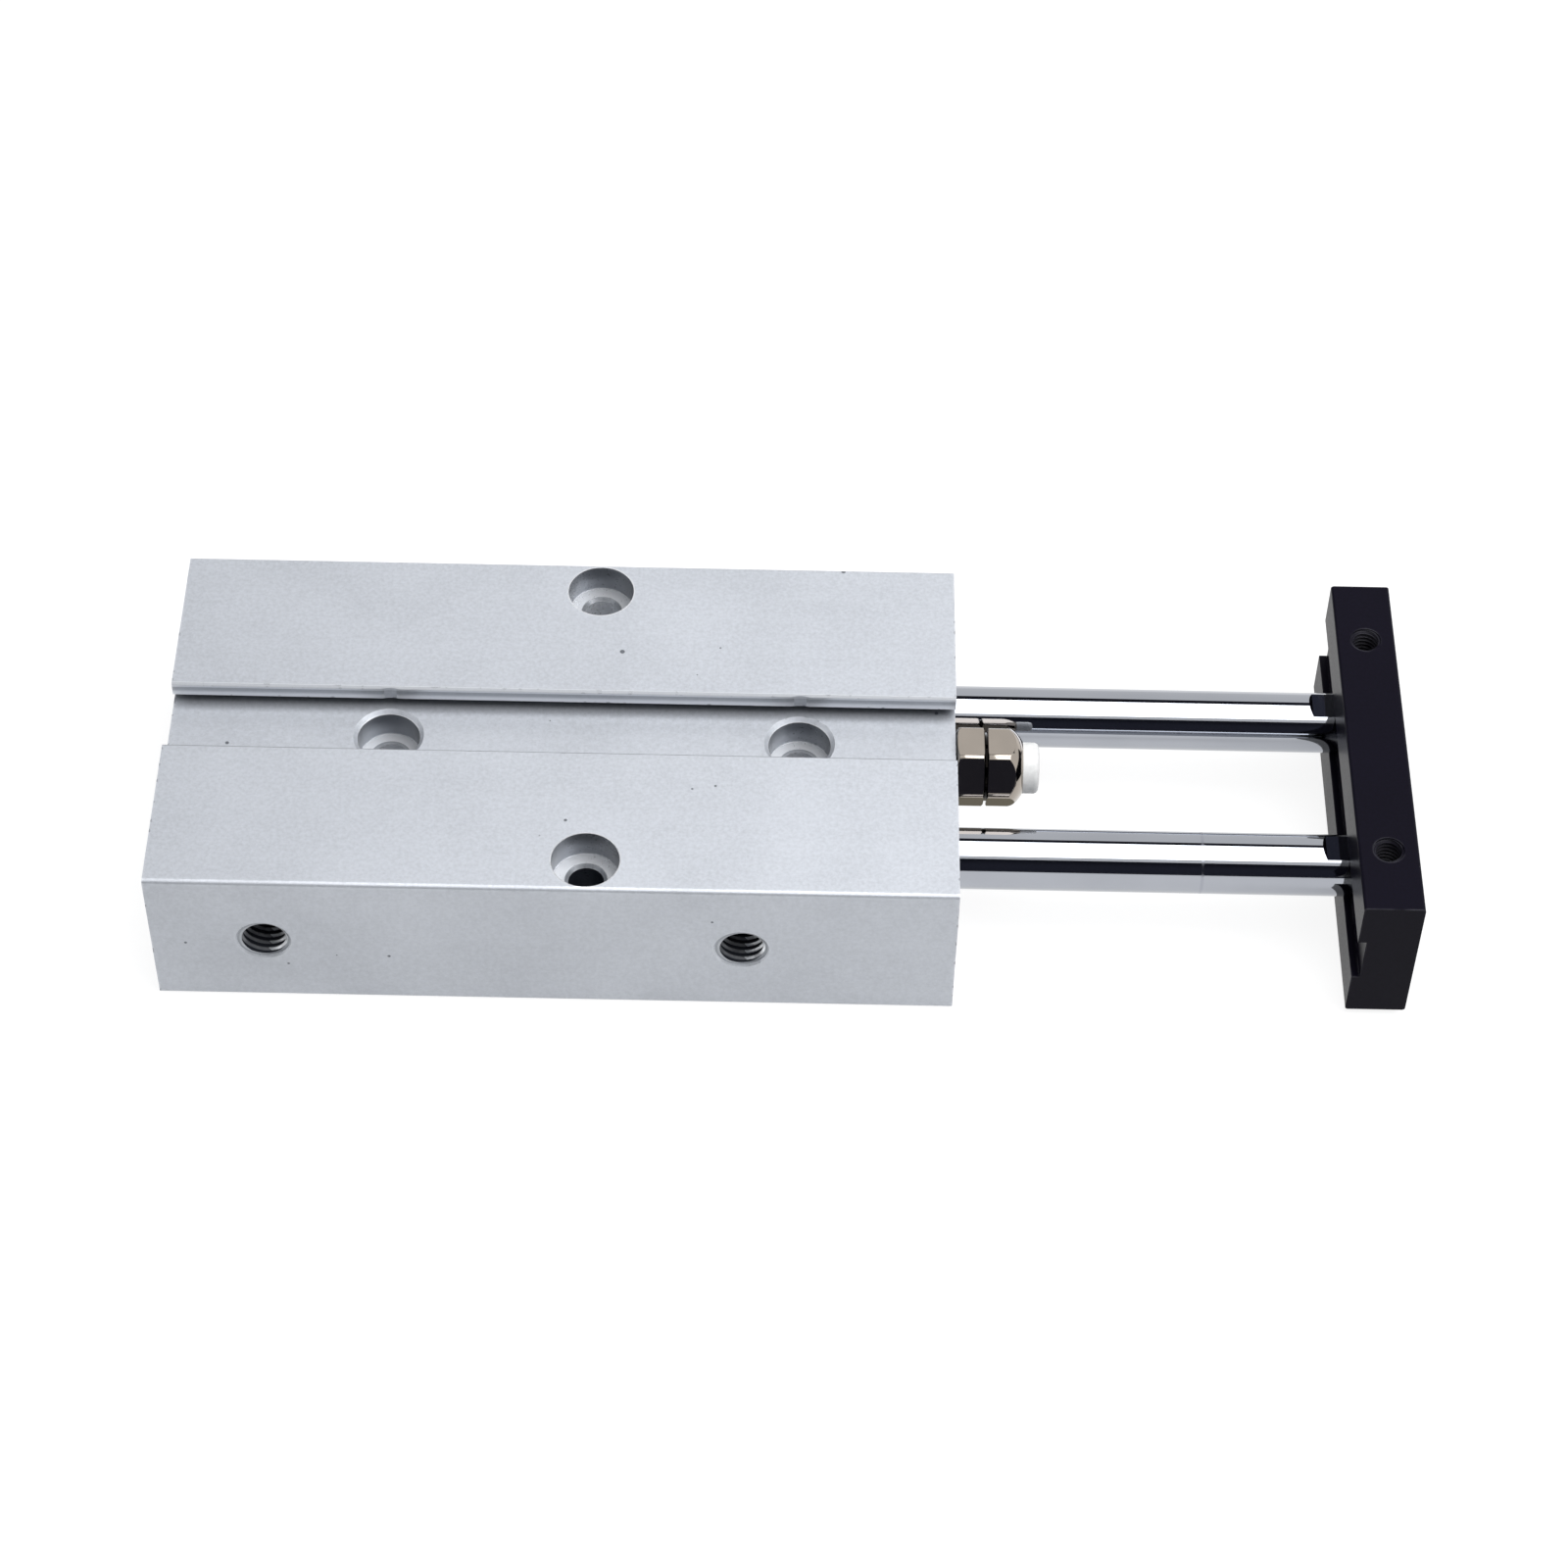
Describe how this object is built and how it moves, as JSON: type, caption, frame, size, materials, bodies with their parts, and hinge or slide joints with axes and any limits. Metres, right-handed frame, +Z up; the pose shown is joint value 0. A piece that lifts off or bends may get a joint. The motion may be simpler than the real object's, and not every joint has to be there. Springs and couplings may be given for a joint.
{
  "type": "guided pneumatic cylinder",
  "caption": "Twin-rod guided pneumatic cylinder: flat aluminium barrel with a T-slot and side ports, chromed rods, black tool plate and an adjustable stop.",
  "frame": {"origin": "middle of the barrel's base face, under the crossing of its two lines of mounting holes", "axes": "+X along the rods towards the tool plate, +Z up through the face with the T-slot, ports on the -Y side"},
  "size_m": [0.1202, 0.042, 0.017],
  "materials": {
    "anodised_aluminium": "fine satin, clear anodised",
    "cover_aluminium": "turned, clear anodised",
    "black_anodised": "satin black anodised aluminium",
    "hard_chrome": "hard chrome, ground and polished",
    "nickel_plate": "bright nickel on brass",
    "white_plastic": "smooth moulded",
    "bronze": "plain bearing bronze",
    "black_rubber": "smooth nitrile rubber",
    "bumper_rubber": "cast urethane",
    "magnet": "bonded ferrite",
    "wear_plastic": "acetal",
    "black_steel": "black oxide steel",
    "spring_steel": "phosphated spring steel"
  },
  "bodies": {
    "housing": {"barrel": "anodised_aluminium", "rod_cover_left": "cover_aluminium", "rod_cover_right": "cover_aluminium", "guide_bush_left": "bronze", "guide_bush_right": "bronze", "rod_seal_left": "black_rubber", "rod_seal_right": "black_rubber", "cover_o_ring_left": "black_rubber", "cover_o_ring_right": "black_rubber", "front_bumper_left": "bumper_rubber", "front_bumper_right": "bumper_rubber", "end_cap_left": "cover_aluminium", "end_cap_right": "cover_aluminium", "end_cap_o_ring_left": "black_rubber", "end_cap_o_ring_right": "black_rubber", "rear_bumper_left": "bumper_rubber", "rear_bumper_right": "bumper_rubber", "front_circlip_left": "spring_steel", "front_circlip_right": "spring_steel", "rear_circlip_left": "spring_steel", "rear_circlip_right": "spring_steel"},
    "carriage": {"tool_plate": "black_anodised", "piston_rod_left": "hard_chrome", "piston_left": "cover_aluminium", "piston_seal_left": "black_rubber", "piston_magnet_left": "magnet", "wear_ring_left": "wear_plastic", "piston_screw_left": "black_steel", "plate_screw_left": "black_steel", "piston_rod_right": "hard_chrome", "piston_right": "cover_aluminium", "piston_seal_right": "black_rubber", "piston_magnet_right": "magnet", "wear_ring_right": "wear_plastic", "piston_screw_right": "black_steel", "plate_screw_right": "black_steel"},
    "stop": {"stop_bolt": "nickel_plate", "stop_bumper": "white_plastic"},
    "nut": {"lock_nut": "nickel_plate"}
  },
  "joints": [
    {"name": "rod_slide", "type": "slide", "parent": "housing", "child": "carriage", "axis": [1, 0, 0], "range_m": [-0.0296, 0]},
    {"name": "stop_bolt_turn", "type": "hinge", "parent": "housing", "child": "stop", "pos_m": [0.0352, 0, 0.0114], "axis": [1, 0, 0], "continuous": true},
    {"name": "lock_nut_turn", "type": "hinge", "parent": "housing", "child": "nut", "pos_m": [0.0352, 0, 0.0114], "axis": [1, 0, 0], "continuous": true}
  ]
}
